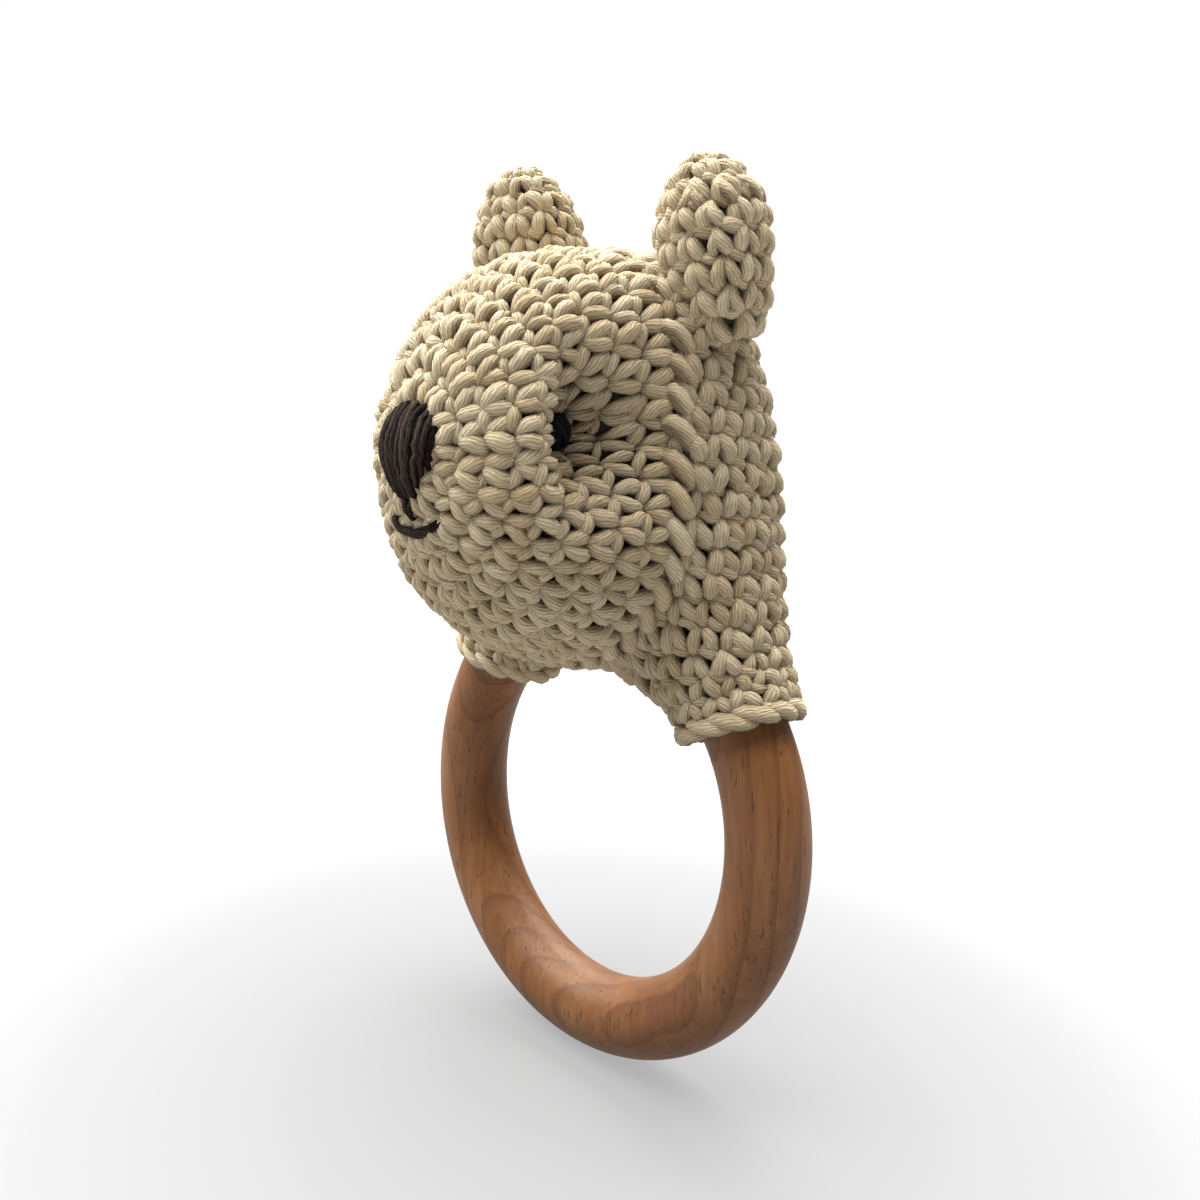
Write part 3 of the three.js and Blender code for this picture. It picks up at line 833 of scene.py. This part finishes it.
# The cloth between the stitches is near black: painted shade in the holes between them.
BACKING = backing_material("painted_shade_backing", (0.016, 0.010, 0.006), (0.036, 0.023, 0.013))
FILL = backing_material("fibre_fill", (0.80, 0.79, 0.75), (0.9, 0.89, 0.86))
BEECH = beech_material()


def paint(node, material):
    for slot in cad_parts[node].material_slots:
        slot.material = material


for name in ("stuffing_front", "stuffing_back", "ear_right_stuffing", "ear_left_stuffing"):
    paint(name, FILL)
paint("eye_tie_thread", BLACK_THREAD)


def place_piece(piece, node, body="head"):
    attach(piece, body)
    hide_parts(node)


# ---------- the wooden ring ----------


def make_ring(steps=192, sides=64):
    """The ring as turned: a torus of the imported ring's size, smooth all round."""
    turns, tubes = (np.arange(count) * 2 * math.pi / count for count in (steps, sides))
    round_ring, round_tube = np.meshgrid(turns, tubes, indexing="ij")
    radius = RING_RADIUS + TUBE_RADIUS * np.cos(round_tube)
    across = TUBE_RADIUS * np.sin(round_tube)
    points = np.stack([radius * np.cos(round_ring), across, radius * np.sin(round_ring)], -1)
    corner_steps, corner_sides, quads = tube_grid(steps + 1, sides)
    quads = quads % (steps * sides)
    mesh = bpy.data.meshes.new("ring_turned")
    mesh.from_pydata(((points.reshape(-1, 3) + RING_CENTRE) * MM).tolist(), [], quads.tolist())
    mesh.polygons.foreach_set("use_smooth", np.ones(len(quads), bool))
    texture = np.stack([corner_steps / steps, corner_sides / sides], -1)
    layer = mesh.uv_layers.new(name="OFBake")
    layer.data.foreach_set("uv", texture.astype(np.float32).ravel())
    mesh.materials.append(BEECH)
    mesh.update(calc_edges=True)
    place_piece(add_object("ring_turned", mesh), "wooden_ring", "ring")


# ---------- the crocheted head ----------


def head_axis(point):
    """The nearest point of the head's middle line, which every outward direction points away from."""
    axis = np.zeros_like(point)
    axis[..., 1] = -6.0
    axis[..., 2] = np.clip(point[..., 2], 34.0, 60.0)
    return axis


def face_axis(point):
    """The nearest point of the face's own middle line, from its nose back to its seam."""
    axis = np.zeros_like(point)
    axis[..., 1] = np.clip(point[..., 1], -24.0, 0.0)
    axis[..., 2] = np.clip(point[..., 2], 44.0, 54.0)
    return axis


def hood_axis(point):
    """Outward from the head's middle above, and from the ring's tube below."""
    axis = head_axis(point)
    tube = around_ring(np.degrees(np.arctan2(point[..., 2], point[..., 0])), RING_RADIUS)
    return np.where((point[..., 2] < HOOD_BOTTOM)[..., None], tube, axis)


def eye_pull_and_shade(along, angle):
    """How hard the face's stitches are pulled, which also sets their painted shade: 1 in an eye's hollow,
    less at the sides and by the seam.
    """
    in_hollow = np.clip(eye_dent(along, angle) / EYE_DENT, 0, 1)
    by_seam = 0.45 * np.clip((along - 0.90) / 0.08, 0, 1) * (np.sin(angle) < 0.75)
    at_side = 0.36 * np.clip((along - 0.35) / 0.3, 0, 1) * np.abs(np.cos(angle)) ** 1.5
    return np.maximum(in_hollow, np.maximum(by_seam, at_side))


def hood_pull_and_shade(along, angle):
    """How hard the hood's stitches are pulled, which also sets their painted shade: a little, all round below
    the crown.
    """
    return 0.36 * np.clip((along - 0.15) / 0.2, 0, 1) + 0 * angle


def make_face():
    yarn = Yarn()
    steps = np.linspace(0, 0.985, len(FACE_ROUNDS) + 1)
    rows = list(zip(steps[:-1], steps[1:], FACE_ROUNDS))
    rows_of_stitches(yarn, face_point, face_axis, rows, sink=0.6, pull=eye_pull_and_shade)
    yarn.add_fuzz(4500, 0.9)
    points, triangles = shrunk_cover("face_cover", 1.4)
    for eye in (EYE_ANGLE, math.pi - EYE_ANGLE):
        bottom = face_point(np.array(EYE_ALONG), np.array(eye))
        nearness = np.exp(-(np.linalg.norm(points - bottom, axis=1) / 9.0) ** 2)
        points[:, 0] -= np.sign(bottom[0]) * 3.6 * nearness
    piece = yarn.object("face_crochet", [COTTON, BACKING], (points, triangles))
    place_piece(piece, "face_cover")


def covered_by_face(point):
    """Whether a point of the hood lies in front of the seam's plane, where the face covers it."""
    across = np.abs(point[..., 0] / (FACE_HALF_WIDTH + 0.5))
    up = np.abs((point[..., 2] - FACE_CENTRE) / (FACE_HALF_HEIGHT + 0.5))
    return (across ** 2.3 + up ** 2.3 < 1) & (point[..., 1] < SEAM_Y - 1.6)


def make_hood():
    yarn = Yarn()
    upper = even_rows(hood_point, 0.0, 0.0, HOOD_SHARE, ROW_HEIGHT)
    lower = np.linspace(HOOD_SHARE, 1, 5)
    limits = np.concatenate([upper, lower[1:]])
    rows = fitted_rounds(hood_point, limits, STITCH_WIDTH, 6)

    def keep(point):
        return ~covered_by_face(point[:, STRAND_STEPS // 2])

    rows_of_stitches(yarn, hood_point, hood_axis, rows, keep, pull=hood_pull_and_shade)
    yarn.add_fuzz(4500, 0.9)
    piece = yarn.object("hood_crochet", [COTTON, BACKING], shrunk_cover("hood_cover", 1.2))
    place_piece(piece, "hood_cover")


def inside_head(point, margin=0.0):
    """Whether a point lies inside the head: within the hood's ovals, or the face in front of the seam."""
    x, y, z = (point[..., i] for i in range(3))
    t = np.linspace(0, 1, 400)
    station = catmull_rom(HOOD_STATIONS, t)
    falling = np.minimum.accumulate(station[:, 2])[::-1]
    along = np.interp(z, falling, t[::-1])
    half_width = np.interp(along, t, station[:, 0]) - margin
    half_depth = np.interp(along, t, station[:, 1]) - margin
    power = section_power(along)
    wide = np.abs(x / np.maximum(half_width, 0.1)) ** power
    deep = np.abs((y - section_middle(z)) / np.maximum(half_depth, 0.1)) ** power
    in_hood = (wide + deep < 1) & (z < HOOD_CROWN) & (z > HOOD_BOTTOM) & (y > SEAM_Y - 0.5)
    t = np.linspace(0, 1, 200)
    face_along = np.interp((y - NOSE_Y) / (SEAM_Y - NOSE_Y), face_depth(t), t)
    reach = face_reach(face_along)
    power = 2 + 0.3 * face_along
    wide = np.abs(x / np.maximum(FACE_HALF_WIDTH * reach - margin, 0.1)) ** power
    tall = np.abs((z - FACE_CENTRE) / np.maximum(FACE_HALF_HEIGHT * reach - margin, 0.1)) ** power
    return in_hood | ((wide + tall < 1) & (y <= SEAM_Y) & (y > NOSE_Y))


def make_ear(side):
    foot, tip, turn = EARS[side]
    surface = ear_point_for(foot, tip, turn)
    limits = even_rows(surface, 0.0, 0.0, 1.3, ROW_HEIGHT * 0.92)
    rows = fitted_rounds(surface, limits, STITCH_WIDTH * 0.95, 5)
    line = unit(tip - foot)

    def axis(point):
        height = np.clip((point - foot) @ line, 0, 16)
        return foot + height[..., None] * line

    def keep(point):
        return ~inside_head(point[:, STRAND_STEPS // 2], 0.8)

    yarn = Yarn()
    rows_of_stitches(yarn, surface, axis, rows, keep, scale=0.93)
    yarn.add_fuzz(1100, 0.9)
    node = f"ear_{side}_cover"
    piece = yarn.object(f"ear_{side}_crochet", [COTTON, BACKING], shrunk_cover(node, 1.6))
    place_piece(piece, node)

    around = np.linspace(0, 2 * math.pi, 73)[:-1]
    down = np.linspace(0.3, 1.3, 300)
    turns, along = np.meshgrid(around, down, indexing="ij")
    reached = inside_head(surface(along, turns), 0.0)
    first = np.argmax(reached, axis=1)
    edge = surface(down[first], around)
    outward = unit(normals_of(surface, down[first], around, axis) + unit(edge - head_axis(edge)))
    whips = Yarn()
    strands_along(whips, Line(edge, outward, True), EAR_WHIP, 3.3, 1.7, 1.5)
    place_stitches(whips, f"ear_{side}_sewing", f"ear_{side}_seam")


# Sewing stitches as (across, along, height, width), in millimetres.
EAR_WHIP = (
    (-2.0, 0.0, -1.2, 0.5),
    (-1.0, 0.5, 0.2, 0.9),
    (0.2, 1.2, 0.5, 1.0),
    (1.2, 1.9, 0.1, 0.9),
    (1.9, 2.4, -1.2, 0.5),
)
SEAM_WHIP = (
    (-2.3, 1.5, -1.1, 0.7),
    (-1.5, 0.7, 0.55, 1.05),
    (-0.1, -0.7, 1.05, 1.2),
    (1.2, -1.9, 0.75, 1.1),
    (2.0, -2.7, -1.1, 0.65),
)
TOP_WHIP = (
    (-1.9, 0.7, -1.3, 0.5),
    (-1.0, 0.2, 0.30, 0.9),
    (0.0, -0.2, 0.65, 1.1),
    (1.0, -0.6, 0.30, 1.0),
    (1.9, -1.0, -1.2, 0.5),
)
CHAIN_LINK = (
    (-0.75, -0.6, -0.7, 0.5),
    (-0.55, 0.8, 0.45, 0.9),
    (0.05, 2.5, 0.70, 1.0),
    (0.6, 4.3, 0.45, 0.95),
    (0.8, 6.0, -0.7, 0.5),
)
CLOSING_WHIP = (
    (-1.9, 0.0, -1.0, 0.5),
    (-1.0, 0.6, 0.3, 0.9),
    (0.0, 1.2, 0.55, 1.0),
    (1.0, 1.8, 0.3, 0.9),
    (1.9, 2.4, -1.0, 0.5),
)


def place_stitches(yarn, name, node, material=COTTON, fuzz=60, backing=None):
    yarn.add_fuzz(fuzz, 1.0)
    materials = [material] if backing is None else [material, BACKING]
    place_piece(yarn.object(name, materials, backing), node)


def make_face_seam():
    """Slanted whip stitches down the sides and under the chin, and small tight ones over the top."""
    whips = Yarn()
    for start, end, shape in ((128, 412, SEAM_WHIP), (52, 128, TOP_WHIP)):
        angle = np.radians(np.linspace(start, end, 181))
        edge = face_point(np.ones_like(angle), angle)
        middle = np.array([0, SEAM_Y, FACE_CENTRE])
        strands_along(whips, Line(edge, unit(edge - middle), False), shape, 3.7, 2.15, 2.0, wander=1.6)
    place_stitches(whips, "face_sewing", "face_seam_yarn", fuzz=250)


def make_hem(side, end):
    """The tight chain edging round one end of the sleeve."""
    turn = np.linspace(0, 2 * math.pi, 97)[:-1]
    middle, across, stretch = end
    middle = middle + unit(np.cross(across, np.array([0, 1.0, 0]))) * (-1.1 if side == "right" else 1.1)
    edge = hem_point((middle, across, stretch), turn, HEM_LOOP_RADIUS)
    line = Line(edge, unit(edge - middle), True)
    chain = Yarn()
    strands_along(chain, line, CHAIN_LINK, 3.4, 2.1, 1.8)
    node = f"hem_{side}"
    place_stitches(chain, f"{node}_chain", node, fuzz=80, backing=shrunk_cover(node, 0.35))


def make_closing_seam():
    """The whip stitches that close the sleeve under the ring's tube."""
    degrees = np.linspace(SLEEVE_RIGHT[1] + 6, SLEEVE_LEFT[1] - 6, 60)
    edge = around_ring(degrees, sleeve_inner_radius(degrees) - 0.3)
    whips = Yarn()
    strands_along(whips, Line(edge, -unit(edge), False), CLOSING_WHIP, 3.4, 1.8, 1.5)
    place_stitches(whips, "closing_sewing", "closing_seam")


# ---------- embroidery ----------


def box_of(node):
    """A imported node's low and high corners, in millimetres from the ring's centre."""
    return (np.array(corner) / MM - RING_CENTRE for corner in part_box(node))


def over_face(x, height, lift):
    """Points of the face at places across and up, lifted off its surface, with the directions out."""
    x, height = np.broadcast_arrays(np.asarray(x, float), np.asarray(height, float))
    angle = np.arctan2(height - FACE_CENTRE, x)
    distance = np.hypot(x, height - FACE_CENTRE)
    low, high = np.zeros_like(x), np.ones_like(x)
    for _ in range(24):
        middle = (low + high) / 2
        point = face_point(middle, angle)
        near = np.hypot(point[..., 0], point[..., 2] - FACE_CENTRE) < distance
        low, high = np.where(near, middle, low), np.where(near, high, middle)
    point = face_point(low, angle)
    centre = np.array([0, NOSE_Y + 16, FACE_CENTRE])
    out = unit(point - centre)
    return point + out * np.asarray(lift)[..., None], out


def satin(yarn, ends, width, thickness, lift, arch, under_shade=0.0, steps=14):
    """Strands laid flat over the face. ends is a list of ((x, height), (x, height))."""
    ends = np.array(ends, float)
    t = np.linspace(0, 1, steps)
    place = ends[:, None, 0] + (ends[:, None, 1] - ends[:, None, 0]) * t[None, :, None]
    place = place + RANDOM.normal(0, 0.10, (len(ends), 1, 2))
    place = place + RANDOM.normal(0, 0.10, (len(ends), steps, 2))
    rise = np.sin(t * math.pi) ** 0.35
    lifts = lift - 1.3 * (1 - rise) + arch * np.sin(t * math.pi)
    lifts = lifts[None] + RANDOM.normal(0, 0.10, (len(ends), 1))
    position, out = over_face(place[..., 0], place[..., 1], lifts)
    taper = (0.55 + 0.45 * rise)[None] * RANDOM.uniform(0.9, 1.1, (len(ends), 1))
    # Painted shade towards each strand's ends, where it goes into the face, and all along the strands of a
    # lower layer.
    deep = np.broadcast_to(np.maximum(np.abs(2 * t - 1) ** 4, under_shade), (len(ends), steps))
    yarn.add(position, out, width / 2 * taper, thickness / 2 * taper, twist=1.6, ridge=0.05, deep=deep)


def make_nose():
    """Three layers of upright satin stitches, each smaller than the one under it; the lower layers are
    darkened with painted shade.
    """
    low, high = box_of("nose_embroidery")
    half_width, half_height = 1.2 * (high[0] - low[0]) / 2, 1.08 * (high[2] - low[2]) / 2
    middle = (low[2] + high[2]) / 2 + 0.2
    yarn = Yarn()
    # The last number of each layer is how much painted shade its strands get all along.
    layers = ((12, 0.92, 0.6, 0.9), (11, 0.86, 1.05, 0.45), (8, 0.72, 1.45, 0.0))
    for layer, (count, reach, lift, under_shade) in enumerate(layers):
        across = np.linspace(-reach, reach, count)
        ends = []
        for place in across:
            tall = half_height * math.sqrt(1 - (place * 0.92) ** 2)
            top = (0.4 + place * half_width * 0.86, middle + tall)
            bottom = (0.2 + place * half_width * 0.60, middle - tall * (0.98 + 0.08 * layer))
            ends.append((top, bottom))
        satin(yarn, ends, 0.86, 0.86, lift, 0.6, under_shade)
    place_stitches(yarn, "nose_satin", "nose_embroidery", DARK_YARN, 800)


def make_mouth():
    """The upright stitch under the nose and the curved one that it ends on."""
    low, high = box_of("philtrum_stitch")
    yarn = Yarn()
    ends = [
        ((-0.35, high[2] + 0.8), (0.25, low[2] - 0.6)),
        ((0.4, high[2] + 0.6), (-0.15, low[2] - 0.8)),
    ]
    satin(yarn, ends, 0.75, 0.7, 0.95, 0.2)
    place_stitches(yarn, "philtrum_yarn", "philtrum_stitch", DARK_YARN, 40)

    low, high = box_of("mouth_stitch")
    yarn = Yarn()
    reach = high[0] + 0.9
    t = np.linspace(-1, 1, 26)
    for strand, (offset, lift) in enumerate(((0.0, 1.05), (0.45, 1.25))):
        shorter = 1 - 0.16 * strand
        x = t * reach * shorter
        height = low[2] + 0.5 + offset + (high[2] - low[2] + 0.2) * (t * shorter) ** 2
        sunk = 1.2 * np.abs(t) ** 16
        position, out = over_face(x, height, lift - sunk + 0.1 * np.sin(t * 9))
        size = (1 - 0.45 * np.abs(t) ** 4)[None]
        yarn.add(position[None], out[None], 0.42 * size, 0.4 * size, twist=6.0, ridge=0.05)
    place_stitches(yarn, "mouth_yarn", "mouth_stitch", DARK_YARN, 120)


def make_eye(side):
    """A little ball of black thread wound over itself at the bottom of its hollow."""
    low, high = box_of(f"eye_{side}")
    centre, radius = (low + high) / 2, (high[0] - low[0]) / 2
    inward = np.array([-1.0 if side == "right" else 1.0, 0.0, 0.0])
    centre = centre + inward * 2.0
    yarn = Yarn()
    turns, steps = 16, 18
    pole = unit(RANDOM.normal(0, 1, (turns, 3)))
    start = unit(np.cross(pole, RANDOM.normal(0, 1, (turns, 3))))
    other = np.cross(pole, start)
    sweep = np.linspace(0, 1.5 * math.pi, steps)[:, None]
    out = start[:, None] * np.cos(sweep) + other[:, None] * np.sin(sweep)
    stretch = np.array([0.8, 0.85, 1.2])
    position = centre + out * stretch * (radius + 0.25 - RANDOM.uniform(0.05, 0.5, (turns, 1, 1)))
    size = np.full((turns, steps), 0.34)
    yarn.add(position, out, size, size * 0.9, twist=4.0, ridge=0.06)
    place_stitches(yarn, f"eye_{side}_thread", f"eye_{side}", BLACK_THREAD, 700)


make_ring()
make_face()
make_hood()
for side in EARS:
    make_ear(side)
make_face_seam()
make_hem("right", RIGHT_END)
make_hem("left", LEFT_END)
make_closing_seam()
make_nose()
make_mouth()
for side in EARS:
    make_eye(side)

# ---------- stage ----------


LAMP_DISC = math.radians(80)


def make_soft_lamp(name, energy, direction):
    """A large soft light far away, whose disc is LAMP_DISC across."""
    data = bpy.data.lights.new(name, "SUN")
    data.energy = energy
    data.angle = LAMP_DISC
    lamp = add_object(name, data)
    lamp.rotation_euler = Vector(direction).to_track_quat("-Z", "Y").to_euler()


# How brightly the floor glows as painted light, by its distance from the object's foot in metres; the dimmer
# glow near the foot is a painted shadow.
FLOOR_GLOW_AND_SHADOW = ((0.0, 0.41), (0.07, 0.58), (0.13, 0.90))


def make_floor():
    """A pale floor that glows as painted light, dimmer near the object's foot as a painted shadow, so that
    shadows on it stay light.
    """
    bpy.ops.mesh.primitive_plane_add(size=60.0, location=(0, 0, -0.0002))
    floor = bpy.context.object
    floor.name = "floor"
    m = Nodes("floor")
    place = m.node("ShaderNodeTexCoord").outputs["Object"]
    color = m.mix(m.noise(place, 3.0), (0.062, 0.062, 0.062), (0.064, 0.064, 0.064))
    distance = m.node("ShaderNodeVectorMath", operation="LENGTH", vector=place)
    glow = m.greys(distance.outputs["Value"], FLOOR_GLOW_AND_SHADOW)
    values = {"Roughness": 0.9, "Specular_IOR_Level": 0.05, "Emission_Color": glow, "Emission_Strength": 1.0}
    floor.data.materials.append(m.finish(Base_Color=color, **values))


# The camera's place round the object, its distance from the ring's centre, and how it is turned.
CAMERA_AZIMUTH, CAMERA_ELEVATION, CAMERA_ROLL = 45.27, 6.63, 3.52
CAMERA_PLACE = np.array([104.03, -105.75, 46.99])
LENS, SENSOR = 31.9, 36.0


def make_camera():
    azimuth, elevation, roll = (math.radians(v) for v in (CAMERA_AZIMUTH, CAMERA_ELEVATION, CAMERA_ROLL))
    level = Vector((math.cos(azimuth), math.sin(azimuth), 0))
    outward = Vector((math.sin(azimuth), -math.cos(azimuth), 0))
    back = outward * math.cos(elevation) + Vector((0, 0, math.sin(elevation)))
    over = back.cross(level)
    right = level * math.cos(roll) + over * math.sin(roll)
    up = back.cross(right)
    data = bpy.data.cameras.new("camera")
    data.lens, data.sensor_width = LENS, SENSOR
    data.clip_start = 0.001
    camera = add_object("camera", data)
    turn = Matrix((right, up, back)).transposed().to_4x4()
    camera.matrix_world = Matrix.Translation(Vector((CAMERA_PLACE + RING_CENTRE) * MM)) @ turn
    bpy.context.scene.camera = camera


DIM_SURROUND = (0.11, 0.105, 0.095, 1)
WHITE = (1, 1, 1, 1)


def make_world():
    """A backdrop that the camera sees as white all round, and that lights the object only dimly."""
    world = bpy.data.worlds.new("world")
    world.use_nodes = True
    tree = world.node_tree
    color = tree.nodes.new("ShaderNodeMix")
    color.data_type = "RGBA"
    color.inputs[6].default_value = DIM_SURROUND
    color.inputs[7].default_value = WHITE
    tree.links.new(tree.nodes.new("ShaderNodeLightPath").outputs["Is Camera Ray"], color.inputs[0])
    tree.links.new(color.outputs[2], tree.nodes["Background"].inputs[0])
    tree.nodes["Background"].inputs[1].default_value = 1.02
    bpy.context.scene.world = world


make_floor()
make_camera()
make_soft_lamp("behind", 3.0, (0.40, -0.35, -1.0))
make_soft_lamp("overhead", 5.6, (0.15, -0.10, -1.0))
make_soft_lamp("left", 8.8, (0.50, 0.15, -1.0))
make_world()
bpy.context.scene.view_settings.view_transform = "Standard"
